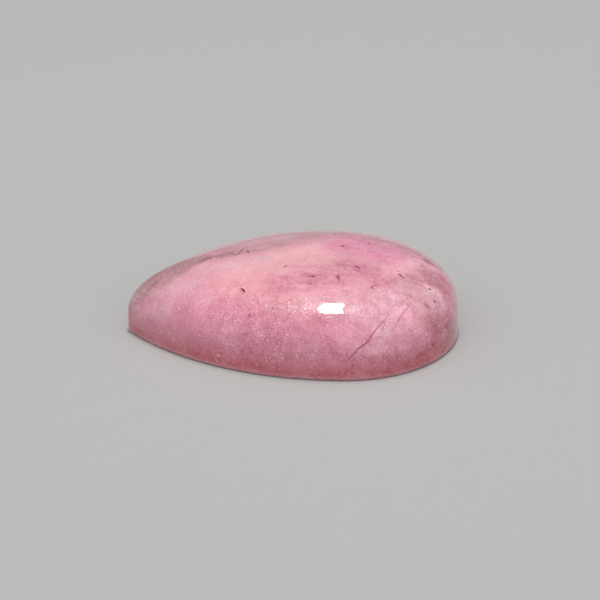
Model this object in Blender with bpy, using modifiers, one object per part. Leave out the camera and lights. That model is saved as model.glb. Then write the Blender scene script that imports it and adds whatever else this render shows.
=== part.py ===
"""Petalite cabochon: one pear-shaped stone, domed and polished above, ground flat below.

Metres, +Z up. The stone lies on z = 0 with its tip towards -X and its round end towards +X. The origin
is on the base, under the middle of the length and width.
"""

from math import atan2, cos, hypot, pi, radians, sin, sqrt

import bmesh
import bpy
from mathutils import Vector

# Driving dimensions
LENGTH = 0.0285
WIDTH = 0.0200
HEIGHT = 0.0072
TIP_RADIUS = 0.00095
CROWN_TIP_RADIUS = 0.0060
GIRDLE_HEIGHT = 0.0019
BASE_BEVEL = 0.00025

# Powers of the dome's super-ellipse profile: 2 is a plain ellipse, and more is a fuller shoulder
SHOULDER_POWER = 2.8
TIP_POWER = 1.9

# Facets of the solid, drawn closer together round the small arc of the tip
STEPS_AROUND = 144
STEPS_UP = 24
CROWDING_AT_TIP = 0.6
BEVEL_STEPS = 2
SHARP_ANGLE = radians(60)

# Finish of the stone
STONE_PINK = (0.72, 0.31, 0.38, 1.0)
POLISHED_ROUGHNESS = 0.12
PETALITE_IOR = 1.51

# The pear outline's round end, which is half the width across
END_RADIUS = WIDTH / 2
END_CENTRE = Vector((LENGTH / 2 - END_RADIUS, 0))
WIDEST_POINT = Vector((END_CENTRE.x, END_RADIUS))


def bearing(point):
    """The angle at which a point of the upper half outline is seen from the crown's axis."""
    return atan2(point.y, point.x)


def outline_reach(angle, tip_radius):
    """Distance from the crown's axis to a pear outline, where a ray at that angle meets one of its arcs.

    The arcs are the round end, the tip, and a long side arc that leaves the round end at the widest point.
    """
    tip_centre = Vector((tip_radius - LENGTH / 2, 0))
    span = END_CENTRE.x - tip_centre.x
    side_radius = (span**2 + END_RADIUS**2 - tip_radius**2) / (2 * (END_RADIUS - tip_radius))
    side_centre = Vector((END_CENTRE.x, END_RADIUS - side_radius))
    tip_start = tip_centre + (tip_centre - side_centre).normalized() * tip_radius

    ray = Vector((cos(angle), abs(sin(angle))))
    if bearing(ray) < bearing(WIDEST_POINT):
        centre, radius = END_CENTRE, END_RADIUS
    elif bearing(ray) < bearing(tip_start):
        centre, radius = side_centre, side_radius
    else:
        centre, radius = tip_centre, tip_radius
    along = ray.dot(centre)
    return along + sqrt(along**2 - centre.length_squared + radius**2)


def height_power(angle):
    """The profile's upright power, which eases from the full shoulder to a plainer curve at the tip."""
    towards_tip = max(-cos(angle), 0) ** 2
    return SHOULDER_POWER + (TIP_POWER - SHOULDER_POWER) * towards_tip


def on_dome(unit):
    """Moves a point of the unit hemisphere to the dome: outwards to the pear outline, up to the crown.

    The pear's tip gets rounder from the girdle to the crown, which melts the ridge above it into the dome.
    """
    angle = atan2(unit.y, unit.x)
    angle += CROWDING_AT_TIP * sin(angle)
    share_out = hypot(unit.x, unit.y) ** (2 / SHOULDER_POWER)
    share_up = max(unit.z, 0) ** (2 / height_power(angle))
    tip_radius = TIP_RADIUS + (CROWN_TIP_RADIUS - TIP_RADIUS) * (1 - share_out)
    reach = outline_reach(angle, tip_radius) * share_out
    rise = GIRDLE_HEIGHT + (HEIGHT - GIRDLE_HEIGHT) * share_up
    return Vector((reach * cos(angle), reach * sin(angle), rise))


def open_edges(bm):
    return [edge for edge in bm.edges if edge.is_boundary]


def cabochon_mesh():
    """A half sphere drawn out to the dome, with an upright girdle below it and a flat base."""
    bm = bmesh.new()
    bmesh.ops.create_uvsphere(bm, u_segments=STEPS_AROUND, v_segments=2 * STEPS_UP, radius=1)
    half_step = sin(pi / 4 / STEPS_UP)
    lower_half = [vert for vert in bm.verts if vert.co.z < -half_step]
    bmesh.ops.delete(bm, geom=lower_half, context="VERTS")
    for vert in bm.verts:
        vert.co = on_dome(vert.co)

    bmesh.ops.extrude_edge_only(bm, edges=open_edges(bm))
    for edge in open_edges(bm):
        for vert in edge.verts:
            vert.co.z = 0
    bmesh.ops.edgeloop_fill(bm, edges=open_edges(bm))
    bmesh.ops.recalc_face_normals(bm, faces=bm.faces)

    mesh = bpy.data.meshes.new("cabochon")
    bm.to_mesh(mesh)
    bm.free()
    mesh.shade_smooth()
    mesh.set_sharp_from_angle(angle=SHARP_ANGLE)
    return mesh


def petalite():
    """Pink petalite: a glassy polish on an even pink."""
    material = bpy.data.materials.new("petalite")
    material.use_nodes = True
    finish = material.node_tree.nodes["Principled BSDF"].inputs
    finish["Base Color"].default_value = STONE_PINK
    finish["Roughness"].default_value = POLISHED_ROUGHNESS
    finish["Metallic"].default_value = 0.0
    finish["IOR"].default_value = PETALITE_IOR
    return material


def cabochon():
    """The stone, with the narrow bevel that keeps its base edge from chipping."""
    stone = bpy.data.objects.new("cabochon", cabochon_mesh())
    stone.data.materials.append(petalite())
    bevel = stone.modifiers.new("base bevel", "BEVEL")
    bevel.width = BASE_BEVEL
    bevel.segments = BEVEL_STEPS
    bevel.limit_method = "ANGLE"
    bevel.angle_limit = SHARP_ANGLE
    return stone


for old in list(bpy.data.objects):
    bpy.data.objects.remove(old)
collection = bpy.data.collections.new("petalite cabochon")
bpy.context.scene.collection.children.link(collection)
collection.objects.link(cabochon())
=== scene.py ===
"""Looks of a petalite cabochon: a polished pear of pink stone on a pale table, in soft studio light."""

from math import cos, pi, radians, sin
from random import Random

import bpy
import numpy as np
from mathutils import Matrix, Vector


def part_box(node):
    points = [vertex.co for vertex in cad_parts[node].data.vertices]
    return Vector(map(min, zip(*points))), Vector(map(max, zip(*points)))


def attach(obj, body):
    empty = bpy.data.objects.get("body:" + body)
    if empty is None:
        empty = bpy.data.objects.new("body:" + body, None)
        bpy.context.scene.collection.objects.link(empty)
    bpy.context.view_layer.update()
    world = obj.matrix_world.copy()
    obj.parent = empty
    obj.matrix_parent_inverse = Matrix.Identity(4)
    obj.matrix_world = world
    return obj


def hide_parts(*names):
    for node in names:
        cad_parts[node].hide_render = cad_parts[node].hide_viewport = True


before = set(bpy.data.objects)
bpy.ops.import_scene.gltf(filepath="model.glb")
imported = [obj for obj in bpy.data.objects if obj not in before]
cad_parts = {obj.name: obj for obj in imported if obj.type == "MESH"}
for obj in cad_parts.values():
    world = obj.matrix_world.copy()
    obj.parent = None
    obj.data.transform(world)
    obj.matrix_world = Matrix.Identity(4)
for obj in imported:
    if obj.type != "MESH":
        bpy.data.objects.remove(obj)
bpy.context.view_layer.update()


# The camera
# A long lens looks down on the stone from its long side, with the tip to the left. The picture is square.
# The target is a point on the stone's axis, and the target's pixel is where the photograph shows it.
CAMERA_AZIMUTH = radians(0.39)
CAMERA_ELEVATION = radians(24.88)
CAMERA_DISTANCE = 0.285
NEAREST_SEEN = 0.01
VIEW_WIDTH = 0.05173
PICTURE_PIXELS = 600
TARGET = Vector((0, 0, 0.0024))
TARGET_PIXEL = (293.2, 305.2)

backward = Vector((
    sin(CAMERA_AZIMUTH) * cos(CAMERA_ELEVATION),
    -cos(CAMERA_AZIMUTH) * cos(CAMERA_ELEVATION),
    sin(CAMERA_ELEVATION),
))
rightward = Vector((0, 0, 1)).cross(backward).normalized()
upward = backward.cross(rightward)
eye = TARGET + backward * CAMERA_DISTANCE

camera = bpy.data.objects.new("camera", bpy.data.cameras.new("camera"))
camera.location = eye
camera.rotation_euler = backward.to_track_quat("Z", "Y").to_euler()
camera.data.lens = camera.data.sensor_width * CAMERA_DISTANCE / VIEW_WIDTH
camera.data.shift_x = 0.5 - TARGET_PIXEL[0] / PICTURE_PIXELS
camera.data.shift_y = TARGET_PIXEL[1] / PICTURE_PIXELS - 0.5
camera.data.clip_start = NEAREST_SEEN
bpy.context.scene.collection.objects.link(camera)
bpy.context.scene.camera = camera


# The stone's surface
# One piece of petalite, sawn flat below, ground to a pear outline and domed and polished by hand above.
# Its outline is a round end, a tip and two long side arcs, and its dome is a super-ellipse in profile.
low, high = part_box("cabochon")
LENGTH = high.x - low.x
WIDTH = high.y - low.y
HEIGHT = high.z - low.z
TIP_RADIUS = 0.00095
CROWN_TIP_RADIUS = 0.0060
GIRDLE_HEIGHT = 0.0019
BASE_BEVEL = 0.00025

# Powers of the dome's profile: 2 is a plain ellipse, and more is a fuller shoulder
SHOULDER_POWER = 2.8
TIP_POWER = 1.9

# Steps of the mesh, drawn closer together round the small arc of the tip
COLUMNS = 560
DOME_ROWS = 120
GIRDLE_ROWS = 16
BEVEL_ROWS = 5
BASE_ROWS = 16
CROWDING_AT_TIP = 0.6


def outline_reach(angle, tip_radius):
    """Distance from the crown's axis to a pear outline: a ray at that angle meets one of its three arcs.

    For an arc of centre c and radius r, the distance along the ray is the ray's reach towards c, plus the
    root of that reach squared less c's own distance squared plus r squared.
    """
    end_radius = WIDTH / 2
    end_x = LENGTH / 2 - end_radius
    tip_x = tip_radius - LENGTH / 2
    side_radius = ((end_x - tip_x) ** 2 + end_radius**2 - tip_radius**2) / (2 * (end_radius - tip_radius))
    side_y = end_radius - side_radius
    slant = np.hypot(tip_x - end_x, side_y)
    tip_start_x = tip_x + (tip_x - end_x) / slant * tip_radius
    tip_start_y = -side_y / slant * tip_radius

    ray_x = np.cos(angle)
    ray_y = np.abs(np.sin(angle))
    turn = np.arctan2(ray_y, ray_x)

    def reach(centre_x, centre_y, radius):
        along = ray_x * centre_x + ray_y * centre_y
        return along + np.sqrt(np.maximum(along**2 - centre_x**2 - centre_y**2 + radius**2, 0))

    on_end = turn < np.arctan2(end_radius, end_x)
    on_side = turn < np.arctan2(tip_start_y, tip_start_x)
    beyond_end = np.where(on_side, reach(end_x, side_y, side_radius), reach(tip_x, 0, tip_radius))
    return np.where(on_end, reach(end_x, 0, end_radius), beyond_end)


def dome(angle, climb):
    """Points of the dome, where climb runs from 0 at the crown to a quarter turn at the girdle.

    Outwards is the pear's reach times a power of climb's sine, and upwards is the height over the girdle
    times a power of climb's cosine. The tip gets rounder towards the crown, so its ridge melts away.
    """
    share_out = np.sin(climb) ** (2 / SHOULDER_POWER)
    towards_tip = np.maximum(-np.cos(angle), 0) ** 2
    power = SHOULDER_POWER + (TIP_POWER - SHOULDER_POWER) * towards_tip
    tip_radius = TIP_RADIUS + (CROWN_TIP_RADIUS - TIP_RADIUS) * (1 - share_out)
    reach = outline_reach(angle, tip_radius) * share_out
    rise = GIRDLE_HEIGHT + (HEIGHT - GIRDLE_HEIGHT) * np.maximum(np.cos(climb), 0) ** (2 / power)
    return reach, rise


def stone_grid():
    """Rows of points round the stone from just under the crown down the side and in over the base.

    Below the dome the reach is the outline's own, less the bevel's quarter circle, and on the base it
    shrinks evenly towards the middle.
    """
    turn = np.linspace(-pi, pi, COLUMNS, endpoint=False)
    angle = turn + CROWDING_AT_TIP * np.sin(turn)
    outline = outline_reach(angle, TIP_RADIUS)

    climb = np.linspace(0, pi / 2, DOME_ROWS + 1)[1:, None]
    dome_reach, dome_rise = dome(angle[None, :], climb)

    down = np.linspace(GIRDLE_HEIGHT, BASE_BEVEL, GIRDLE_ROWS + 1)[1:, None]
    girdle_reach = np.tile(outline, (GIRDLE_ROWS, 1))
    girdle_rise = np.repeat(down, COLUMNS, axis=1)

    round_under = np.linspace(0, pi / 2, BEVEL_ROWS + 1)[1:, None]
    bevel_reach = outline - BASE_BEVEL * (1 - np.cos(round_under))
    bevel_rise = np.repeat(BASE_BEVEL * (1 - np.sin(round_under)), COLUMNS, axis=1)

    inwards = np.linspace(1, 0, BASE_ROWS + 1)[1:-1, None]
    base_reach = (outline - BASE_BEVEL) * inwards
    base_rise = np.zeros_like(base_reach)

    reach = np.concatenate([dome_reach, girdle_reach, bevel_reach, base_reach])
    rise = np.concatenate([dome_rise, girdle_rise, bevel_rise, base_rise])
    return np.stack([reach * np.cos(angle), reach * np.sin(angle), rise], axis=-1)


def closed_mesh(name, rows, top, bottom):
    """A mesh of rows of points that wrap round, closed by a fan to one point above and one below.

    Point i of row r has the number r times the columns, plus i. A quad takes points i and i + 1 of one row
    and of the next, and after a row's last point comes its first.
    """
    row_count, columns = rows.shape[:2]
    points = np.concatenate([rows.reshape(-1, 3), [top], [bottom]])
    first = np.arange(columns)
    second = (first + 1) % columns
    upper = columns * np.arange(row_count - 1)[:, None]
    lower = upper + columns
    quads = np.stack([upper + first, lower + first, lower + second, upper + second], -1)
    last = columns * (row_count - 1)
    top_number = columns * row_count
    crown = np.stack([first, second, np.full(columns, top_number)], -1)
    middle = np.stack([last + second, last + first, np.full(columns, top_number + 1)], -1)
    mesh = bpy.data.meshes.new(name)
    faces = quads.reshape(-1, 4).tolist() + crown.tolist() + middle.tolist()
    mesh.from_pydata(points.tolist(), [], faces)
    mesh.shade_smooth()
    return mesh


stone = bpy.data.objects.new("stone", closed_mesh("stone", stone_grid(), (0, 0, HEIGHT), (0, 0, 0)))
bpy.context.scene.collection.objects.link(stone)
bpy.context.view_layer.update()


# The stone's marks
# Stains, the vein, cracks and flecks lie in the petalite itself. Each that the photograph shows is put where
# it shows, where the camera's ray through its pixel meets the surface, and belongs to the stone from then
# on. Those of the far side and the base are given as places on the stone, in millimetres.
MM = 0.001


def pixel_ray(pixel):
    """The direction from the camera through a pixel of the photograph.

    The steps across and up from the target's pixel become metres, by the width of the view over that of the
    picture, in the plane through the target that faces the camera. The ray runs from the eye to that point.
    """
    across = (pixel[0] - TARGET_PIXEL[0]) / PICTURE_PIXELS * VIEW_WIDTH
    up = (TARGET_PIXEL[1] - pixel[1]) / PICTURE_PIXELS * VIEW_WIDTH
    return (TARGET + rightward * across + upward * up - eye).normalized()


def surface_at(pixel):
    """Where the ray from the eye through a pixel first meets the stone."""
    found, place, _, _ = stone.ray_cast(eye, pixel_ray(pixel))
    if not found:
        raise ValueError(f"pixel {pixel} isn't on the stone")
    return place


def mark(point):
    """A mark's place on the stone, in millimetres.

    Two numbers are a pixel of the photograph, whose ray gives the place. Three are a place in millimetres,
    which moves to the nearest point of the surface.
    """
    if len(point) == 2:
        return surface_at(point) / MM
    _, place, _, _ = stone.closest_point_on_mesh(Vector(point) * MM)
    return place / MM


# The petalite
# Pink petalite is a glassy, slightly cloudy mass of sugary grain, stained rose, salmon and lilac, with a
# grey-brown vein of matrix. The dome is polished, and the base is left as the lap ground it.
class Shade:
    """A socket in a material's nodes. Arithmetic on it adds Math nodes."""

    # A Mix node has sockets for each kind of value, and these are the numbers of the share and the colours
    MIX_SHARE = 0
    MIX_FIRST = 6
    MIX_SECOND = 7
    MIX_RESULT = 2

    def __init__(self, tree, socket=None):
        self.tree = tree
        self.socket = socket

    def node(self, kind, settings, inputs, output=0):
        """Adds a node: first its settings, then the values or links of its sockets."""
        made = self.tree.nodes.new(kind)
        for name, setting in settings.items():
            setattr(made, name, setting)
        for name, given in inputs.items():
            if isinstance(given, Shade):
                self.tree.links.new(given.socket, made.inputs[name])
            else:
                made.inputs[name].default_value = given
        socket = made.outputs[output] if made.outputs else None
        return Shade(self.tree, socket)

    def math(self, operation, *values):
        """A Math node on values that may be sockets or numbers."""
        return self.node("ShaderNodeMath", {"operation": operation}, dict(enumerate(values)))

    def __add__(self, other):
        return self.math("ADD", self, other)

    def __sub__(self, other):
        return self.math("SUBTRACT", self, other)

    def __rsub__(self, other):
        return self.math("SUBTRACT", other, self)

    def __mul__(self, other):
        return self.math("MULTIPLY", self, other)

    def __abs__(self):
        return self.math("ABSOLUTE", self)

    __radd__ = __add__
    __rmul__ = __mul__

    def greater(self, other):
        """The greater of two values."""
        return self.math("MAXIMUM", self, other)

    def lesser(self, other):
        """The lesser of two values."""
        return self.math("MINIMUM", self, other)

    def spread(self, low, high):
        """A share made to run from low to high: it times their difference, plus low."""
        return self * (high - low) + low

    def eased(self, start, end):
        """From 0 where this value is start to 1 where it is end, by a smooth step.

        It is three times the square of the way's share, less twice its cube, and holds itself between 0 and
        1, so the node's own clamp is off.
        """
        settings = {"interpolation_type": "SMOOTHSTEP", "clamp": False}
        inputs = {"Value": self, "From Min": start, "From Max": end}
        return self.node("ShaderNodeMapRange", settings, inputs)

    def vector(self, operation, *values, output="Vector"):
        """A Vector Math node on this vector or colour and others."""
        inputs = dict(enumerate((self, *values)))
        return self.node("ShaderNodeVectorMath", {"operation": operation}, inputs, output)

    def scaled(self, factor):
        """This vector times a value."""
        inputs = {"Vector": self, "Scale": factor}
        return self.node("ShaderNodeVectorMath", {"operation": "SCALE"}, inputs)

    def times(self, vector):
        """A vector times this value."""
        inputs = {"Vector": vector, "Scale": self}
        return self.node("ShaderNodeVectorMath", {"operation": "SCALE"}, inputs)

    def part(self, axis):
        """The X, Y or Z of this place."""
        return self.node("ShaderNodeSeparateXYZ", {}, {0: self}, output=axis)

    def mix(self, first, second):
        """From the first colour to the second, as this share goes from 0 to 1."""
        inputs = {self.MIX_SHARE: self, self.MIX_FIRST: first, self.MIX_SECOND: second}
        return self.node("ShaderNodeMix", {"data_type": "RGBA"}, inputs, self.MIX_RESULT)

    def towards(self, colour, share):
        """This colour mixed with another by the other's share."""
        return share.mix(self, colour)

    def noise(self, size, detail=2, roughness=0.5, output=0):
        """Noise read at this place, from 0 to 1, whose lumps are about size across."""
        inputs = {"Vector": self, "Scale": 1 / size, "Detail": detail, "Roughness": roughness}
        return self.node("ShaderNodeTexNoise", {}, inputs, output)

    def centred_noise(self, size, detail=2, roughness=0.5):
        """The same noise, from -0.5 to 0.5."""
        return self.noise(size, detail, roughness) - 0.5

    def stirred(self, size, reach, detail=2):
        """This place plus reach times noise from -0.5 to 0.5 each way, whose lumps are about size across."""
        push = self.noise(size, detail, output="Color").vector("SUBTRACT", (0.5, 0.5, 0.5))
        return push.vector("MULTIPLY_ADD", (reach, reach, reach), self)

    def drawn_out(self, direction, factor):
        """This place pressed together along a direction, so that what is read there is longer by factor.

        The place's part along the direction is added to it, times 1 / factor less 1.
        """
        line = Vector(direction).normalized()
        along = self.vector("DOT_PRODUCT", line, output="Value")
        return along.times(line).vector("MULTIPLY_ADD", [1 / factor - 1] * 3, self)


def reusable(name, takes, gives, formula):
    """A node group: formula works its result out from inputs that are given by name and kind of socket."""
    tree = bpy.data.node_groups.new(name, "ShaderNodeTree")
    for label, kind in takes.items():
        tree.interface.new_socket(label, in_out="INPUT", socket_type=kind)
    tree.interface.new_socket("Result", in_out="OUTPUT", socket_type=gives)
    inside = Shade(tree)
    given = [inside.node("NodeGroupInput", {}, {}, output=label) for label in takes]
    inside.node("NodeGroupOutput", {}, {"Result": formula(*given)})
    return tree


VALUE = "NodeSocketFloat"
VECTOR = "NodeSocketVector"
COLOUR = "NodeSocketColor"


def distance_to_rod(place, start, line, pace, radius, growth):
    """Distance from a place to a rod, less the rod's radius, which grows along it.

    The share of the way along is the offset from the start dotted with the pace, which is the rod's line over
    its length squared, held between 0 and 1. The distance is from the offset to the line times that share.
    """
    offset = place.vector("SUBTRACT", start)
    share = offset.vector("DOT_PRODUCT", pace, output="Value").greater(0).lesser(1)
    return offset.vector("DISTANCE", line.scaled(share), output="Value") - radius - share * growth


def colour_with_stain(colour, tone, distance, softness, share):
    """The colour mixed with the tone, by a share that fades out over the softness about distance 0."""
    return colour.towards(tone, distance.eased(softness * 0.5, softness * -0.5) * share)


ROD = reusable(
    "rod",
    {"Place": VECTOR, "Start": VECTOR, "Line": VECTOR, "Pace": VECTOR, "Radius": VALUE, "Growth": VALUE},
    VALUE,
    distance_to_rod,
)
STAIN = reusable(
    "stain",
    {"Colour": COLOUR, "Tone": COLOUR, "Distance": VALUE, "Softness": VALUE, "Share": VALUE},
    COLOUR,
    colour_with_stain,
)
LEAST_SQUARE = 1e-9


def rod_distance(place, start, end, start_radius, end_radius):
    """Distance in millimetres from a place to a rod between two marks.

    The pace is the rod's line over its length squared. A rod from a mark to itself has none, and is a ball.
    """
    line = mark(end) - mark(start)
    inputs = {
        "Place": place,
        "Start": mark(start),
        "Line": line,
        "Pace": line / max(line.length_squared, LEAST_SQUARE),
        "Radius": start_radius,
        "Growth": end_radius - start_radius,
    }
    return place.node("ShaderNodeGroup", {"node_tree": ROD}, inputs)


def stained(colour, tone, distance, softness, share):
    """The colour with one stain added, whose edge is where the distance is 0."""
    inputs = {"Colour": colour, "Tone": tone, "Distance": distance, "Softness": softness, "Share": share}
    return colour.node("ShaderNodeGroup", {"node_tree": STAIN}, inputs)


def line_distance(place, stops):
    """Distance to the nearest of the rods that join (mark, radius) stops one after another."""
    rods = [rod_distance(place, a, b, start, end) for (a, start), (b, end) in zip(stops, stops[1:])]
    nearest = rods[0]
    for rod in rods[1:]:
        nearest = nearest.lesser(rod)
    return nearest


material = bpy.data.materials.new("petalite")
material.use_nodes = True

# Here is the place that is shaded. All places and sizes in the petalite are in millimetres.
here = Shade(material.node_tree).node("ShaderNodeTexCoord", {}, {}, output="Object").scaled(1 / MM)

# The body is rose to pink, and paler on the crown, where the paleness is painted light from the lamp above.
# Marks are read at places that noise has moved, so that their edges wander: stirred for stains, edged for
# patches, mottles and the vein, and fine for the rest.
ROSE = (0.67, 0.25, 0.345, 1)
PINK = (0.77, 0.33, 0.43, 1)
PAINTED_CROWN_LIGHT = (0.77, 0.365, 0.44, 1)
PINK_SHARE = 0.35
PAINTED_CROWN_LIGHT_SHARE = 0.9
PAINTED_CROWN_LIGHT_HEIGHTS = (4.8, 6.6)
SOFT_PATCHES = (0.35, 0.65)
height = here.part("Z")
stirred = here.stirred(size=3.0, reach=1.2, detail=4)
edged = here.stirred(size=0.7, reach=0.35, detail=3)
fine = here.stirred(size=0.25, reach=0.12)
warmth = here.noise(size=5.0, detail=3).eased(*SOFT_PATCHES)
colour = (warmth * PINK_SHARE).mix(ROSE, PINK)
# Painted light: the crown is paler towards its top.
colour = colour.towards(PAINTED_CROWN_LIGHT, stirred.part("Z").eased(*PAINTED_CROWN_LIGHT_HEIGHTS) * PAINTED_CROWN_LIGHT_SHARE)

# Stains are clouds of colour, and patches are smaller and crisper. Each lies along a rod between two marks:
# its tone, the two marks, its radius, the softness of its edge and its share.
SALMON = (0.86, 0.435, 0.485, 1)
CORAL = (0.73, 0.31, 0.36, 1)
PEACH = (0.94, 0.48, 0.53, 1)
BLUSH = (0.92, 0.435, 0.54, 1)
LILAC = (0.82, 0.32, 0.46, 1)
ORCHID = (0.83, 0.345, 0.50, 1)
MAUVE = (0.66, 0.25, 0.34, 1)
VEIL = (0.77, 0.44, 0.52, 1)
MIST = (0.745, 0.40, 0.485, 1)
DUSTY = (0.73, 0.385, 0.465, 1)
PALE = (0.69, 0.375, 0.435, 1)
WHITE = (0.85, 0.53, 0.60, 1)
CLOUD = (0.84, 0.43, 0.53, 1)
DUSK = (0.59, 0.275, 0.33, 1)
ASH = (0.45, 0.255, 0.265, 1)
RUST = (0.48, 0.19, 0.22, 1)
TAWNY = (0.56, 0.24, 0.285, 1)
MAROON = (0.50, 0.13, 0.18, 1)
DEEP = (0.50, 0.09, 0.14, 1)
WINE = (0.40, 0.04, 0.08, 1)
STAINS = [
    (PINK, (205, 302), (222, 328), 1.3, 2.4, 0.45),
    (MIST, (150, 309), (166, 311), 0.7, 1.4, 0.90),
    (SALMON, (244, 275), (325, 253), 2.1, 2.8, 0.95),
    (PEACH, (278, 255), (330, 247), 0.9, 2.0, 0.95),
    (SALMON, (222, 284), (242, 282), 0.8, 2.0, 0.50),
    (SALMON, (208, 287), (238, 291), 0.5, 1.2, 0.40),
    (CORAL, (246, 295), (290, 299), 0.4, 1.6, 0.80),
    # Painted sheen: this salmon glow above the highlight stands in for its halo.
    (SALMON, (300, 295), (350, 290), 0.8, 1.8, 0.40),
    (VEIL, (212, 268), (262, 259), 0.6, 1.8, 0.80),
    (MIST, (172, 287), (196, 284), 0.6, 1.2, 1.00),
    (PALE, (178, 277), (206, 268), 0.5, 1.2, 0.80),
    (DUSK, (148, 301), (170, 281), 0.4, 1.2, 0.50),
    (MIST, (174, 297), (202, 297), 0.9, 1.6, 0.55),
    (CORAL, (236, 285), (266, 282), 0.6, 1.4, 0.75),
    (MIST, (228, 262), (262, 258), 0.4, 1.6, 0.70),
    # Painted shade: these three darker stains beside and below the highlight tone down its halo's reflection.
    (CORAL, (276, 309), (318, 309), 0.9, 1.2, 0.95),
    (CORAL, (352, 305), (360, 306), 0.3, 1.2, 0.60),
    (MAUVE, (282, 316), (338, 321), 0.5, 1.4, 0.60),
    (PINK, (243, 334), (257, 340), 0.4, 1.6, 0.50),
    (ORCHID, (338, 334), (352, 341), 0.6, 1.6, 0.95),
    (VEIL, (218, 248), (285, 236), 0.9, 1.4, 0.75),
    (LILAC, (345, 243), (392, 255), 2.1, 2.2, 1.00),
    (BLUSH, (390, 269), (420, 261), 0.9, 1.4, 0.90),
    (DUSTY, (364, 311), (425, 303), 1.8, 2.4, 0.90),
    (PALE, (404, 286), (434, 301), 1.2, 1.6, 0.85),
    (CLOUD, (405, 315), (417, 328), 0.8, 1.4, 0.80),
    (CLOUD, (362, 351), (384, 350), 0.6, 1.4, 0.90),
    (PINK, (386, 343), (404, 340), 0.6, 1.4, 0.70),
    (PINK, (390, 355), (403, 352), 0.4, 1.4, 0.60),
    (CLOUD, (256, 345), (264, 347), 0.2, 1.2, 0.50),
    (CLOUD, (256, 357), (286, 358), 0.3, 1.2, 0.40),
    (CLOUD, (352, 347), (360, 345), 0.2, 1.0, 0.50),
    (CLOUD, (134, 325), (144, 322), 0.4, 1.2, 0.45),
    (MAUVE, (206, 322), (246, 331), 0.6, 1.6, 0.55),
    (MAUVE, (254, 311), (290, 318), 0.4, 1.4, 0.45),
    (CLOUD, (304, 347), (312, 346), 0.2, 1.2, 0.50),
    (DUSK, (427, 315), (440, 319), 0.5, 1.6, 0.70),
    (DEEP, (437, 330), (433, 349), 0.7, 1.6, 0.75),
    (DEEP, (448, 329), (453, 343), 0.9, 2.0, 0.95),
    (WINE, (452, 334), (451, 346), 0.5, 1.6, 0.90),
    (DEEP, (412, 361), (449, 342), 0.7, 1.8, 0.85),
    (ASH, (130, 303), (150, 287), 1.05, 1.6, 0.95),
    (SALMON, (-6, 4.5, 5), (-1, 7.5, 4.5), 1.6, 2.4, 0.80),
    (LILAC, (5.5, 7.5, 5), (9.5, 6, 5.2), 1.4, 2.2, 0.80),
    (PALE, (-9, 3, 3), (-6, 5, 2.5), 0.8, 1.8, 0.70),
    (CLOUD, (0, 9, 3), (3.5, 9.8, 2), 0.8, 1.6, 0.70),
    (DEEP, (11.5, 7, 2), (14, 2, 2), 0.8, 2.2, 0.60),
    (MIST, (-11.5, 1.5, 3), (-9.5, 3, 2), 0.6, 1.4, 0.80),
]
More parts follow.
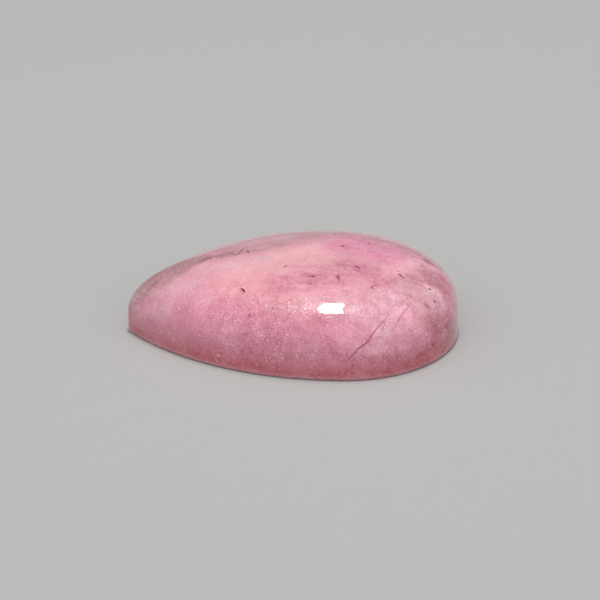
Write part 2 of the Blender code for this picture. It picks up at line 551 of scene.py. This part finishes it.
PATCHES = [
    (MAUVE, (292, 267), (312, 266), 0.30, 0.8, 0.50),
    (MAUVE, (300, 277), (322, 275), 0.10, 0.6, 0.40),
    (MAUVE, (382, 262), (396, 267), 0.10, 0.6, 0.50),
    (MAUVE, (398, 247), (408, 252), 0.15, 0.8, 0.70),
    (DUSK, (402, 304), (412, 305), 0.25, 0.8, 0.60),
    (DUSK, (413, 278), (423, 283), 0.35, 0.9, 0.60),
    (MAROON, (425.5, 260.5), (430.5, 263.5), 0.40, 0.4, 0.95),
    (DUSK, (422, 266), (424, 272), 0.20, 0.7, 0.50),
    (TAWNY, (427, 275), (432, 277), 0.50, 0.6, 0.85),
    (TAWNY, (429, 280), (439, 284.5), 0.55, 0.5, 0.95),
    (RUST, (435.5, 277.5), (439, 281.5), 0.12, 0.4, 0.75),
    (RUST, (429, 284), (440, 288.5), 0.10, 0.35, 0.65),
    (TAWNY, (440, 287), (447, 294), 0.25, 0.5, 0.85),
    (BLUSH, (431, 268), (437, 270), 0.40, 0.6, 0.95),
    (BLUSH, (440, 272), (445, 278), 0.30, 0.6, 0.70),
    (WHITE, (426.5, 286), (431, 289), 0.25, 0.4, 0.90),
    (WHITE, (431, 290), (438, 293), 0.30, 0.5, 0.95),
    (WHITE, (437, 293.5), (440.5, 299), 0.30, 0.7, 0.85),
    (WHITE, (440.5, 299), (443.5, 305), 0.25, 0.7, 0.75),
    (WHITE, (443, 305), (442, 313), 0.15, 1.0, 0.40),
    (MAUVE, (437, 264), (452, 287), 0.10, 0.5, 0.50),
    (DUSK, (422, 300), (430, 308), 0.30, 0.7, 0.70),
    (MAROON, (433, 324), (437, 332), 0.25, 0.6, 0.60),
    (MAUVE, (348, 323), (367, 331), 0.25, 0.9, 0.85),
    (VEIL, (317, 240), (338, 239), 0.30, 1.0, 0.60),
    (DUSK, (308, 317), (346, 316.5), 0.20, 0.9, 0.45),
    (WHITE, (372, 351), (385, 348), 0.25, 0.8, 0.40),
    (WHITE, (378, 332), (388, 334), 0.45, 0.9, 0.80),
    (WHITE, (398, 333), (408, 333), 0.30, 0.9, 0.50),
    (CLOUD, (376, 310), (384, 310), 0.30, 0.9, 0.60),
    (TAWNY, (424, 320), (431, 324), 0.45, 0.9, 0.85),
    (DUSK, (300, 358), (314, 358), 0.30, 1.0, 0.45),
    (CLOUD, (399, 360), (410, 357), 0.25, 0.9, 0.40),
    (PEACH, (278, 273), (291, 273), 0.30, 1.0, 0.60),
    (MAUVE, (351, 297), (361, 299), 0.35, 1.0, 0.50),
    (MAUVE, (326, 333), (336, 335), 0.30, 1.0, 0.55),
    (CLOUD, (394, 341), (404, 348), 0.35, 0.9, 0.60),
    # Painted light and shade round the highlight: the dusky patches tone down the halo's reflection at its
    # sides, and the white and pale ones are a painted glow of the halo above and beside it.
    (DUSK, (270, 309), (300, 307), 0.45, 1.1, 0.60),
    (WHITE, (305, 305.5), (315, 308), 0.25, 0.9, 0.45),
    (WHITE, (318, 301), (340, 301), 0.10, 0.7, 0.40),
    (WHITE, (346, 309), (351, 309), 0.10, 0.7, 0.40),
    (DUSK, (350, 303), (361, 306), 0.35, 0.9, 0.50),
    (PALE, (298, 299.5), (338, 299.5), 0.25, 1.0, 0.55),
    (PALE, (151, 294), (161, 295), 0.50, 1.2, 0.80),
    (PALE, (138, 303), (139, 317), 0.40, 1.2, 0.50),
    (PALE, (447, 297), (448, 303), 0.20, 0.6, 0.75),
    (RUST, (452, 285), (453, 292), 0.15, 0.7, 0.40),
    (MAROON, (449, 308), (449, 314), 0.30, 0.9, 0.35),
    (DUSK, (425, 266), (424, 274), 0.15, 0.6, 0.50),
]
for wandering, stains in ((stirred, STAINS), (edged, PATCHES)):
    for tone, start, end, radius, softness, share in stains:
        distance = rod_distance(wandering, start, end, radius, radius)
        colour = stained(colour, tone, distance, softness, share)

# Mottled mauve, where noise breaks a stain up: the two marks, the radius, the softness and the share
MOTTLES = [
    ((286, 284), (343, 273), 1.5, 1.2, 1.0),
    ((345, 264), (384, 280), 1.0, 1.4, 1.0),
    ((298, 288), (318, 286), 0.4, 1.2, 0.7),
    ((366, 288), (392, 282), 0.3, 1.0, 0.7),
    ((252, 272), (268, 275), 0.4, 1.4, 0.5),
    ((350, 296), (368, 302), 0.5, 1.4, 0.7),
    ((395, 250), (415, 258), 0.4, 1.2, 0.6),
    ((268, 324), (300, 332), 0.8, 1.6, 0.4),
    ((-4, 6.5, 5), (2, 8.6, 4.5), 0.8, 1.4, 0.8),
    ((8, 7.8, 4.5), (11.5, 5, 4.5), 0.8, 1.4, 0.8),
]
MOTTLE_EDGES = (0.36, 0.62)
mottle = here.noise(size=0.9, detail=5, roughness=0.65).eased(*MOTTLE_EDGES)
for start, end, radius, softness, share in MOTTLES:
    distance = rod_distance(edged, start, end, radius, radius)
    colour = stained(colour, MAUVE, distance, softness, mottle * share)

# The vein is a sheet of matrix: it shows from the tip to the crown, down the far side and across the base.
# Its stops are marks with the half width there. Crumbs fray its edges, and on the far side they waver.
VEIN = [
    ((134, 296), 0.6),
    ((140, 289), 0.75),
    ((148, 282.3), 0.95),
    ((158, 276.7), 1.1),
    ((168, 272.5), 1.15),
    ((178, 267.8), 1.1),
    ((188, 263.2), 1.05),
    ((196, 260.3), 1.0),
    ((203, 258.6), 0.7),
    ((209, 257.4), 0.5),
    ((216, 256.6), 0.42),
    ((226, 254.7), 0.55),
    ((238, 251.7), 0.75),
    ((250, 249), 0.8),
    ((262, 246.8), 0.9),
    ((274, 244.5), 1.0),
    ((284, 241.8), 0.8),
    ((294, 238.7), 0.55),
    ((301, 237.6), 0.4),
    ((312, 235.8), 0.35),
    ((322, 234.5), 0.35),
    ((332, 233.3), 0.35),
    ((4.4, 7.0, 6.3), 0.5),
    ((5.4, 8.0, 5.4), 0.5),
    ((6.1, 8.8, 4.2), 0.45),
    ((6.7, 9.3, 2.8), 0.4),
    ((7.0, 9.5, 1.4), 0.35),
    ((7.2, 9.4, 0), 0.35),
    ((4.5, 4.0, 0), 0.30),
    ((-1.0, 0.5, 0), 0.35),
    ((-7.0, -1.5, 0), 0.45),
    ((-12.5, -0.5, 0), 0.60),
]
VEIN_TIP = (0.41, 0.235, 0.25, 1)
VEIN_BROWN = (0.44, 0.21, 0.23, 1)
VEIN_GREY = (0.64, 0.33, 0.375, 1)
VEIN_DARK = (0.40, 0.18, 0.20, 1)
VEIN_LIGHT = (0.80, 0.42, 0.49, 1)
FAR_SIDE = (5.0, 8.0)
CRUMB_REACH = 0.5
WAVER_REACH = 1.6
crumbs = here.centred_noise(size=0.25)
waver = here.centred_noise(size=2.2) * here.part("Y").eased(*FAR_SIDE)
vein = line_distance(edged, VEIN) + crumbs * CRUMB_REACH + waver * WAVER_REACH

# Along the stone its colour goes from grey-brown at the tip through brown to grey, in darker and lighter
# streaks. Its edge is crisp from near the tip to the middle of the stone, and soft elsewhere.
TIP_TO_BROWN = (-10.0, -8.5)
BROWN_TO_GREY = (-6.5, -4.5)
CRISP_START = (-9.5, -8.0)
CRISP_END = (0.5, -1.5)
SHARP_EDGE = (0.12, -0.12)
SHARP_SHARE = 0.95
BLURRED_EDGE = (0.7, -0.5)
BLURRED_SHARE = 0.92
STREAK_FLOW = (1, 0.4, 0.1)
STREAK_SHARE = 0.35
DARK_STREAKS = (0.5, 0.7)
LIGHT_STREAKS = (0.5, 0.3)
along = here.part("X")
streaks = here.drawn_out(STREAK_FLOW, factor=3).noise(size=0.6, detail=3)
matrix = along.eased(*TIP_TO_BROWN).mix(VEIN_TIP, VEIN_BROWN)
matrix = matrix.towards(VEIN_GREY, along.eased(*BROWN_TO_GREY))
matrix = matrix.towards(VEIN_DARK, streaks.eased(*DARK_STREAKS) * STREAK_SHARE)
matrix = matrix.towards(VEIN_LIGHT, streaks.eased(*LIGHT_STREAKS) * STREAK_SHARE)
sharp = vein.eased(*SHARP_EDGE) * SHARP_SHARE
blurred = vein.eased(*BLURRED_EDGE) * BLURRED_SHARE
crisp = along.eased(*CRISP_START) * along.eased(*CRISP_END)
colour = colour.towards(matrix, blurred + (sharp - blurred) * crisp)

# Thin mauve threads marble the crown's round end, and paler and darker ribbons flow with them. A thread is
# where a noise passes its middle value, in drifts that a second noise picks out.
THREAD_FLOW = (1, -0.5, -0.4)
THREAD_EDGE = (0.07, 0.0)
THREAD_SHARE = 0.3
DRIFTS = (0.4, 0.6)
ROUND_END = (0.5, 4.0)
threads = here.drawn_out(THREAD_FLOW, factor=1.4).centred_noise(size=1.5, detail=4, roughness=0.6)
threads = abs(threads).eased(*THREAD_EDGE) * here.noise(size=2.0).eased(*DRIFTS)
round_end = along.eased(*ROUND_END)
colour = colour.towards(MAUVE, threads * round_end * THREAD_SHARE)
ribbons = here.drawn_out(THREAD_FLOW, factor=1.8).centred_noise(size=0.8, detail=3) * round_end

# The foot of the stone is a deeper rose: painted shade, where less light gets in. Its lowest rim is painted
# shade too, darker where it meets the table. The ground base gets neither. Ground is 1 on the base and gloss
# is 1 on all the rest.
FOOT_SHADE = (0.51, 0.13, 0.165, 1)
RIM_SHADE = (0.64, 0.275, 0.325, 1)
RIM_SHADE_SHARE = 0.7
GROUND_HEIGHTS = (0.10, 0.02)
FOOT_SHADE_HEIGHTS = (2.9, 0.2)
RIM_SHADE_HEIGHTS = (0.6, 0.15)
ground = height.eased(*GROUND_HEIGHTS)
gloss = 1 - ground
wavy_height = here.stirred(size=2.0, reach=1.0).part("Z")
# Painted shade: darker towards the foot, and darker still along the rim by the table.
colour = colour.towards(FOOT_SHADE, wavy_height.eased(*FOOT_SHADE_HEIGHTS) * gloss)
colour = colour.towards(RIM_SHADE, height.eased(*RIM_SHADE_HEIGHTS) * gloss * RIM_SHADE_SHARE)

# The sugary grain is at its strongest round the sides. Less of it is left on the crown, the foot and the tip.
OFF_CROWN = (7.15, 5.9)
OFF_FOOT = (0.5, 2.5)
OFF_TIP = (-10, -5)
LEFT_ON_CROWN = 0.5
LEFT_ON_FOOT = 0.7
LEFT_ON_TIP = 0.6
off_crown = height.eased(*OFF_CROWN).spread(LEFT_ON_CROWN, 1)
off_foot = height.eased(*OFF_FOOT).spread(LEFT_ON_FOOT, 1)
off_tip = along.eased(*OFF_TIP).spread(LEFT_ON_TIP, 1)
roughened = off_crown * off_foot * off_tip

# It is pale granules in drifts, and light and dark of four kinds: fine grain, lumps, ribbons and clouds
GRANULE = (0.90, 0.52, 0.60, 1)
GRANULE_EDGES = (0.56, 0.72)
GRANULE_SHARE = 0.7
GRAIN_TINT = (1.55, 1.45, 1.60)
GRAIN_DEPTHS = (0.15, 0.35)
LUMP_DEPTH = 0.17
CLOUD_DEPTH = 0.12
RIBBON_DEPTH = 0.11
PALEST = (0.97, 0.97, 0.97)
DARKEST = (0.02, 0.02, 0.02)
granules = here.noise(size=0.33, roughness=0.6).eased(*GRANULE_EDGES)
granules = granules * here.noise(size=2.2, detail=3).eased(*DRIFTS)
colour = colour.towards(GRANULE, granules * roughened * GRANULE_SHARE)
grain_depth = here.noise(size=1.1).eased(*SOFT_PATCHES).spread(*GRAIN_DEPTHS)
grain = here.centred_noise(size=0.15, detail=1) * grain_depth
lumps = here.centred_noise(size=0.8, detail=4, roughness=0.6) * LUMP_DEPTH
clouds = here.centred_noise(size=2.4, detail=3) * CLOUD_DEPTH
tint = ((grain + lumps) * roughened + clouds + ribbons * RIBBON_DEPTH).times(GRAIN_TINT)
colour = colour.vector("ADD", tint).vector("MINIMUM", PALEST).vector("MAXIMUM", DARKEST)

# Cracks are thin dark red lines that taper off at both ends: a share, then stops, which are marks with the
# half width there. The first two are on the near side, and the others on the far side.
CRACKS = [
    (0.80, [((346.4, 360.6), 0.00), ((352, 355.8), 0.04), ((358.3, 348.6), 0.08), ((365.5, 343.5), 0.09),
            ((367.9, 341.5), 0.09), ((374.3, 331.9), 0.06), ((378.3, 326.7), 0.04), ((383, 321.9), 0.03),
            ((386.3, 318.3), 0.02), ((390, 310.4), -0.02)]),
    (0.60, [((411, 303.3), 0.00), ((406.7, 308.9), 0.03), ((403.3, 312.4), 0.045), ((399, 319.6), 0.045),
            ((395, 325.6), 0.03), ((391.7, 331.7), 0.02), ((390, 336), -0.01)]),
    (0.70, [((-5.4, 5.9, 5.6), -0.01), ((-5.0, 6.5, 4.6), 0.05), ((-4.3, 7.1, 3.4), 0.06),
            ((-3.9, 7.4, 2.2), 0.05), ((-3.2, 7.7, 0.9), -0.01)]),
    (0.70, [((9.6, 7.4, 5.0), -0.01), ((9.3, 8.1, 3.8), 0.04), ((9.8, 8.3, 2.4), 0.03),
            ((9.5, 8.5, 1.2), -0.02)]),
]
CRACK = (0.42, 0.07, 0.13, 1)
CRACK_EDGE = (0.06, -0.04)
for share, stops in CRACKS:
    colour = colour.towards(CRACK, line_distance(fine, stops).eased(*CRACK_EDGE) * share)

# Flecks are dark dots and dashes, and specks are pale ones. Each lies along a rod between two marks: its
# tone, the two marks, the radius at each, the softness of its edge and its share.
SOOT = (0.15, 0.002, 0.015, 1)
FLECK = (0.26, 0.02, 0.06, 1)
FLECKS = [
    (SOOT, (240.9, 288.4), (243.3, 289.8), 0.03, 0.08, 0.10, 1.00),
    (SOOT, (243.3, 289.8), (244.8, 292.4), 0.09, 0.05, 0.10, 1.00),
    (SOOT, (429.7, 289.2), (429.7, 289.2), 0.13, 0.13, 0.12, 0.95),
    (SOOT, (231, 252.7), (232.8, 253.8), 0.08, 0.07, 0.10, 0.65),
    (SOOT, (232.8, 253.8), (235, 254.7), 0.05, 0.07, 0.10, 0.35),
    (SOOT, (235, 254.7), (237.8, 254.2), 0.07, 0.08, 0.10, 0.60),
    (SOOT, (237.8, 254.2), (241, 250.9), 0.08, 0.06, 0.10, 0.60),
    (SOOT, (241, 250.9), (242.3, 249.9), 0.08, 0.10, 0.10, 0.70),
    (SOOT, (247.2, 250.4), (248.8, 253), 0.08, 0.08, 0.10, 0.65),
    (SOOT, (235.4, 251.9), (235.4, 251.9), 0.07, 0.07, 0.14, 0.40),
    (SOOT, (242.8, 253.3), (242.8, 253.3), 0.08, 0.08, 0.16, 0.40),
    (SOOT, (246, 253), (246, 253), 0.07, 0.07, 0.16, 0.35),
    (SOOT, (245.7, 255.3), (245.7, 255.3), 0.07, 0.07, 0.16, 0.30),
    (SOOT, (238.8, 245.6), (238.8, 245.6), 0.07, 0.07, 0.20, 0.30),
    (SOOT, (211, 259), (211, 259), 0.09, 0.09, 0.12, 0.55),
    (SOOT, (200.5, 260.8), (210, 257.6), 0.05, 0.08, 0.12, 0.45),
    (FLECK, (313, 276.4), (306.5, 276.6), 0.13, 0.03, 0.14, 0.70),
    (FLECK, (313, 276.4), (316, 276.2), 0.13, 0.05, 0.14, 0.85),
    (FLECK, (306, 274.6), (321, 274.9), 0.05, 0.05, 0.16, 0.40),
    (FLECK, (343.2, 246), (343.2, 246), 0.14, 0.14, 0.18, 0.95),
    (FLECK, (286.2, 265.8), (282.8, 267.8), 0.10, 0.04, 0.14, 0.85),
    (FLECK, (356, 266.1), (359.3, 268.3), 0.11, 0.06, 0.14, 0.95),
    (FLECK, (399.4, 274.5), (404.2, 278.1), 0.11, 0.06, 0.14, 0.95),
    (FLECK, (398.2, 271.3), (398.2, 271.3), 0.09, 0.09, 0.16, 0.65),
    (FLECK, (279, 261.9), (279, 261.9), 0.06, 0.06, 0.16, 0.75),
    (FLECK, (304.8, 259.3), (304.8, 259.3), 0.07, 0.07, 0.16, 0.85),
    (FLECK, (337.6, 275.6), (339, 279.6), 0.12, 0.07, 0.30, 0.80),
    (FLECK, (338.3, 277), (335.8, 278), 0.07, 0.04, 0.25, 0.55),
    (FLECK, (323.7, 283.7), (323.7, 283.7), 0.09, 0.09, 0.20, 0.65),
    (FLECK, (309, 283), (312, 284.5), 0.07, 0.07, 0.30, 0.55),
    (FLECK, (281.5, 286.3), (282.5, 287), 0.08, 0.08, 0.30, 0.50),
    (FLECK, (258.3, 302), (258.3, 302), 0.11, 0.11, 0.25, 0.45),
    (FLECK, (272.5, 308.1), (272.5, 308.1), 0.07, 0.07, 0.16, 0.55),
    (FLECK, (249.3, 314), (249.6, 316.6), 0.07, 0.06, 0.14, 0.85),
    (FLECK, (253.6, 315.6), (255, 314.8), 0.07, 0.06, 0.16, 0.55),
    (FLECK, (275.9, 319.5), (275.9, 319.5), 0.06, 0.06, 0.16, 0.55),
    (FLECK, (242.5, 334), (248, 334.8), 0.06, 0.06, 0.30, 0.50),
    (FLECK, (265.2, 340.6), (265.2, 340.6), 0.08, 0.08, 0.25, 0.45),
    (FLECK, (253, 365), (253, 365), 0.06, 0.06, 0.20, 0.55),
    (FLECK, (355.5, 270), (359, 271.5), 0.07, 0.05, 0.30, 0.55),
    (FLECK, (371.1, 287.4), (376.7, 284.8), 0.09, 0.05, 0.22, 0.60),
    (FLECK, (371.6, 287.4), (373.8, 288.8), 0.09, 0.06, 0.24, 0.55),
    (FLECK, (387, 283), (388.8, 284), 0.08, 0.08, 0.35, 0.50),
    (FLECK, (434.5, 301.6), (434.5, 301.6), 0.14, 0.14, 0.22, 0.65),
    (FLECK, (425.8, 305.2), (429.4, 307.8), 0.16, 0.12, 0.40, 0.50),
    (FLECK, (407.4, 298.4), (407.4, 298.4), 0.08, 0.08, 0.16, 0.65),
    (FLECK, (411, 296.4), (411, 296.4), 0.10, 0.10, 0.35, 0.40),
    (FLECK, (434.5, 326), (434.5, 326), 0.15, 0.15, 0.30, 0.55),
    (FLECK, (445.7, 326.3), (445.7, 326.3), 0.12, 0.12, 0.35, 0.40),
]
SPECK = (0.95, 0.72, 0.78, 1)
SPECKS = [
    (SPECK, (404.6, 305.4), (404.4, 308), 0.06, 0.05, 0.12, 0.8),
    (SPECK, (387.4, 323.5), (387.4, 323.5), 0.08, 0.08, 0.16, 0.6),
    (SPECK, (379, 340.3), (379, 340.3), 0.07, 0.07, 0.16, 0.6),
    (SPECK, (312.6, 354.7), (312.6, 354.7), 0.08, 0.08, 0.16, 0.6),
    (SPECK, (316.8, 350.9), (316.8, 350.9), 0.07, 0.07, 0.16, 0.6),
    (SPECK, (275.1, 349.3), (275.1, 349.3), 0.08, 0.08, 0.16, 0.5),
    (SPECK, (426.1, 333.9), (426.1, 333.9), 0.12, 0.12, 0.20, 0.5),
]

# The far side has flecks of the same kind, strewn over the dome by chance
FAR_FLECKS = 28
FAR_DEGREES = (20, 165)
FAR_CLIMBS = (0.4, 1.5)
FAR_DRIFT = 0.15
FAR_START_RADII = (0.05, 0.13)
FAR_END_RADIUS = 0.04
FAR_SOFTNESSES = (0.12, 0.3)
FAR_SHARES = (0.4, 0.95)
chance = Random(11)
far_flecks = []
for _ in range(FAR_FLECKS):
    turn = radians(chance.uniform(*FAR_DEGREES))
    reach, rise = dome(turn, chance.uniform(*FAR_CLIMBS))
    start = Vector((reach * cos(turn), reach * sin(turn), rise)) / MM
    end = start + Vector([chance.gauss(0, FAR_DRIFT) for _ in range(3)])
    start_radius = chance.uniform(*FAR_START_RADII)
    softness = chance.uniform(*FAR_SOFTNESSES)
    share = chance.uniform(*FAR_SHARES)
    far_flecks.append((FLECK, start, end, start_radius, FAR_END_RADIUS, softness, share))
for tone, start, end, start_radius, end_radius, softness, share in SPECKS + FLECKS + far_flecks:
    distance = rod_distance(fine, start, end, start_radius, end_radius)
    colour = stained(colour, tone, distance, softness, share)

# The base is matte and paler, with the fine scores of the lap
GROUND = (0.80, 0.46, 0.52, 1)
GROUND_SHARES = (0.25, 0.65)
LAP_FLOW = (1, 0.25, 0)
SCORE_EDGES = (0.3, 0.7)
scores = here.drawn_out(LAP_FLOW, factor=30).noise(size=0.12, detail=3)
colour = colour.towards(GROUND, ground * scores.eased(*SCORE_EDGES).spread(*GROUND_SHARES))

# The polish is a clear gloss over fine slanting pits, which scatter a halo round the highlight. The base has
# no gloss: it is rough, and its scores stand in relief.
POLISH = {
    "IOR": 1.51,
    "Specular IOR Level": 0.24,
    "Subsurface Weight": 0.6,
    "Subsurface Radius": (1.0, 0.4, 0.45),
    "Subsurface Scale": 0.0015,
    "Coat Roughness": 0.02,
    "Coat IOR": 1.5,
}
POLISH_ROUGHNESS = 0.16
UNEVENNESS = 0.06
ADDED_ON_BASE = 0.42
PIT_FLOW = (1, -1, -1)
PIT_DEPTH = 0.000045
roughness = here.centred_noise(size=0.5, detail=3) * UNEVENNESS + POLISH_ROUGHNESS + ground * ADDED_ON_BASE
pits = here.drawn_out(PIT_FLOW, factor=2).noise(size=0.13, detail=0) + ground * (scores - 0.5)
bump = pits.node("ShaderNodeBump", {}, {"Strength": 1.0, "Distance": PIT_DEPTH, "Height": pits})
varied = {"Base Color": colour, "Roughness": roughness, "Coat Weight": gloss, "Normal": bump}
shader = material.node_tree.nodes["Principled BSDF"].inputs
for name, value in POLISH.items():
    shader[name].default_value = value
for name, value in varied.items():
    material.node_tree.links.new(value.socket, shader[name])
stone.data.materials.append(material)

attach(stone, "root")
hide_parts("cabochon")


# The table
# A plain pale grey table top, matte and even, which the stone's base rests on. It lies a hundredth of a
# millimetre lower, so that the two faces don't share a plane.
TABLE_SIDE = 0.6
TABLE_GAP = 0.00001
TABLE_GREY = (0.45, 0.45, 0.45, 1)
TABLE_ROUGHNESS = 0.9
half = TABLE_SIDE / 2
table_mesh = bpy.data.meshes.new("table")
table_mesh.from_pydata(
    [(-half, -half, 0), (half, -half, 0), (half, half, 0), (-half, half, 0)],
    [],
    [(0, 1, 2, 3)],
)
table = bpy.data.objects.new("table", table_mesh)
table.location.z = -TABLE_GAP
table_material = bpy.data.materials.new("table")
table_material.use_nodes = True
table_finish = table_material.node_tree.nodes["Principled BSDF"].inputs
table_finish["Base Color"].default_value = TABLE_GREY
table_finish["Roughness"].default_value = TABLE_ROUGHNESS
table_mesh.materials.append(table_material)
bpy.context.scene.collection.objects.link(table)


# The softbox
# One white softbox makes the highlight in the polish. Its outline is drawn by its reflection: each corner is
# where the photograph shows it in the stone's shoulder, and the reflected ray runs on to the softbox's plane.
SOFTBOX_CORNERS = [
    (316.8, 309.2),
    (323.8, 303.1),
    (345.3, 304),
    (341.6, 308.6),
    (344.2, 313.2),
    (323.6, 313.5),
    (319.6, 312.2),
]
SOFTBOX_DISTANCE = 0.4
SOFTBOX_RADIANCE = 28
SOFTBOX_WHITE = (1, 0.985, 0.955, 1)
BLACK = (0, 0, 0, 1)
SLOPE_STEP = 1.5


def mirrored(pixel):
    """The direction in which the stone's polish turns a pixel's ray.

    The normal is the cross product of two chords of the surface, from a step left of the pixel to a step
    right and from a step below it to a step above, and the ray is reflected in it.
    """
    x, y = pixel
    across = surface_at((x + SLOPE_STEP, y)) - surface_at((x - SLOPE_STEP, y))
    up = surface_at((x, y - SLOPE_STEP)) - surface_at((x, y + SLOPE_STEP))
    return pixel_ray(pixel).reflect(across.cross(up).normalized())


# The softbox's plane faces the stone, at its distance from the origin. A ray gets there in the distance that
# its start lacks, over the cosine of its slant.
directions = [mirrored(corner) for corner in SOFTBOX_CORNERS]
to_light = sum(directions, Vector()).normalized()
softbox_points = []
for corner, direction in zip(SOFTBOX_CORNERS, directions):
    way = (SOFTBOX_DISTANCE - surface_at(corner).dot(to_light)) / direction.dot(to_light)
    softbox_points.append(surface_at(corner) + direction * way)
softbox_mesh = bpy.data.meshes.new("softbox")
softbox_mesh.from_pydata(softbox_points, [], [tuple(range(len(softbox_points)))])
softbox = bpy.data.objects.new("softbox", softbox_mesh)
softbox_material = bpy.data.materials.new("softbox")
softbox_material.use_nodes = True
lamp = softbox_material.node_tree.nodes["Principled BSDF"].inputs
lamp["Base Color"].default_value = BLACK
lamp["Emission Color"].default_value = SOFTBOX_WHITE
lamp["Emission Strength"].default_value = SOFTBOX_RADIANCE
softbox_mesh.materials.append(softbox_material)
bpy.context.scene.collection.objects.link(softbox)


# The room
# The room lights the stone from all round with an even white glow, which gets brighter towards a high front
# window: it eases up with the cosine of the angle from the window's middle.
ROOM_GLOW = 0.24
WINDOW_GLOW = 0.72
WINDOW_ELEVATION = radians(38)
WINDOW_COSINES = (-0.2, 1.0)
WHITE_LIGHT = (1, 1, 1, 1)
to_window = (0, -cos(WINDOW_ELEVATION), sin(WINDOW_ELEVATION))
world = bpy.data.worlds.new("studio")
world.use_nodes = True
outwards = Shade(world.node_tree).node("ShaderNodeTexCoord", {}, {}, output="Generated")
near_window = outwards.vector("DOT_PRODUCT", to_window, output="Value").eased(*WINDOW_COSINES)
glow = near_window * WINDOW_GLOW + ROOM_GLOW
background = world.node_tree.nodes["Background"].inputs
background["Color"].default_value = WHITE_LIGHT
world.node_tree.links.new(glow.socket, background["Strength"])
bpy.context.scene.world = world
bpy.context.scene.view_settings.view_transform = "Standard"
